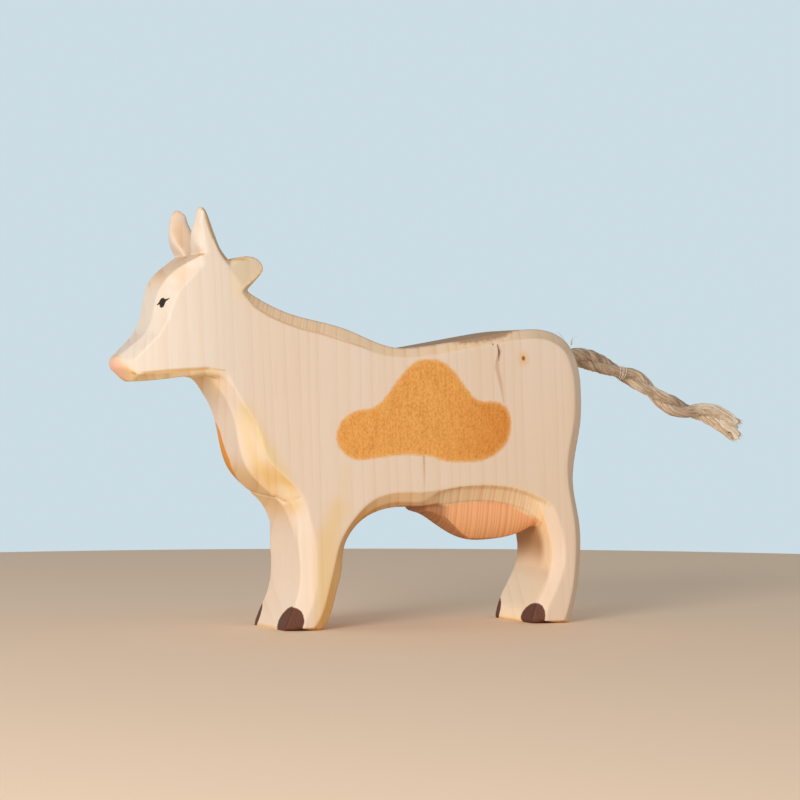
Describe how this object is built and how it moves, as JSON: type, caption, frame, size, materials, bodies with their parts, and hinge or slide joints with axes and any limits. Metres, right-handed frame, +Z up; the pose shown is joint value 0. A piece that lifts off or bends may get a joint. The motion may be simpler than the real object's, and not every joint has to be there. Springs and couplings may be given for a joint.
{
  "type": "cow figurine",
  "caption": "Standing cow carved from one softwood board, with bevelled edges, upright horns, a hollowed flank, an udder and a rope tail.",
  "frame": {"origin": "on the ground under the wooden body, midway along its length and across its thickness", "axes": "the head looks towards -X and the tail stands out towards +X, the cow's left side faces -Y, and +Z is up"},
  "size_m": [0.1913, 0.028, 0.114],
  "materials": {
    "softwood": "sanded pale softwood, oiled, with stained markings",
    "rope": "twisted natural bast fibre, unbleached",
    "glue": "dried wood glue"
  },
  "bodies": {
    "root": {"carved_body": "softwood", "tail_rope": "rope", "tail_glue": "glue"}
  },
  "joints": []
}
